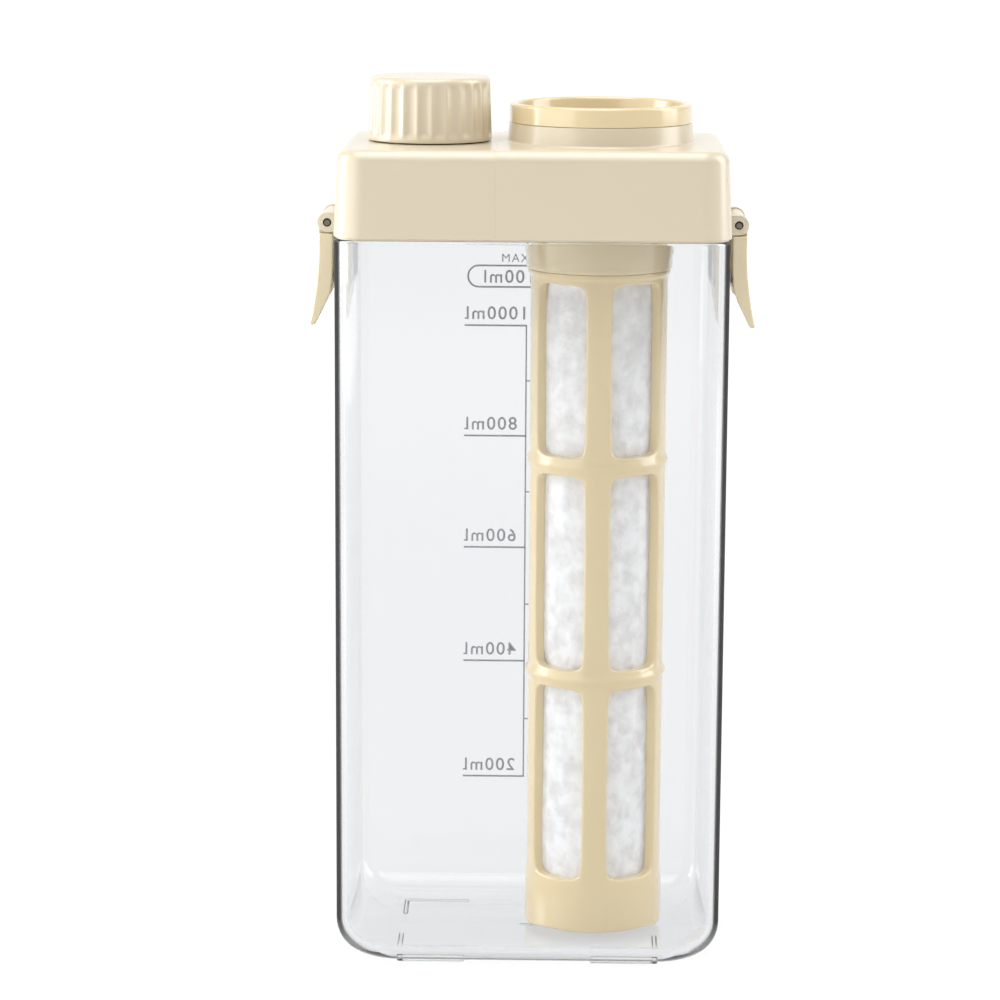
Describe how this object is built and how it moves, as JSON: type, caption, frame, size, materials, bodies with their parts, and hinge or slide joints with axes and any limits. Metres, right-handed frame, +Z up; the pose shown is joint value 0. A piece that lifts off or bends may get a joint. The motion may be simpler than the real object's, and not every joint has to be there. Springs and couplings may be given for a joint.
{
  "type": "cold brew pitcher",
  "caption": "Clear rectangular pitcher with a deep cream lid held by side latches, a ribbed screw cap on its spout and a drop-in filter basket for brewing cold coffee or tea.",
  "frame": {"origin": "middle of the base, on the surface that the four corner feet stand on", "axes": "+Z up along the jar, front towards -Y, +X towards the filter's side of the lid"},
  "size_m": [0.1172, 0.0694, 0.2353],
  "materials": {
    "clear_copolyester": "clear, polished",
    "cream_plastic": "satin to gloss, moulded",
    "silicone": "matt, translucent white",
    "nylon_mesh": "fine white filter mesh",
    "pin_steel": "plain drawn wire"
  },
  "bodies": {
    "jar": {"pitcher_body": "clear_copolyester"},
    "lid": {"lid_cover_pour": "cream_plastic", "lid_cover_brew": "cream_plastic", "lid_liner": "cream_plastic", "lid_gasket": "silicone", "latch_pin_left": "pin_steel", "latch_pin_right": "pin_steel"},
    "left_lever": {"latch_left": "cream_plastic"},
    "right_lever": {"latch_right": "cream_plastic"},
    "filter": {"filter_funnel": "cream_plastic", "filter_frame": "cream_plastic", "filter_mesh": "nylon_mesh"},
    "cap_seal": {"cap_liner": "silicone"},
    "cap": {"pour_cap": "cream_plastic"}
  },
  "joints": [
    {"name": "lid_lift", "type": "slide", "parent": "jar", "child": "lid", "axis": [0, 0, 1], "range_m": [0, 0.215]},
    {"name": "latch_left_swing", "type": "hinge", "parent": "lid", "child": "left_lever", "pos_m": [-0.05385, 0, 0.1976], "axis": [0, 1, 0], "range_deg": [-3.5, 160]},
    {"name": "latch_right_swing", "type": "hinge", "parent": "lid", "child": "right_lever", "pos_m": [0.05385, 0, 0.1976], "axis": [0, -1, 0], "range_deg": [-3.5, 160]},
    {"name": "filter_lift", "type": "slide", "parent": "lid", "child": "filter", "axis": [0, 0, 1], "range_m": [0, 0.225]},
    {"name": "cap_lift", "type": "slide", "parent": "lid", "child": "cap_seal", "axis": [0, 0, 1], "range_m": [0, 0.0141]},
    {"name": "cap_turn", "type": "hinge", "parent": "cap_seal", "child": "cap", "pos_m": [-0.0274, 0, 0.2186], "axis": [0, 0, 1], "range_deg": [0, 630]}
  ],
  "couplings": [
    {"joint": "cap_lift", "follows": "cap_turn", "m_per_rad": 0.0012732}
  ]
}
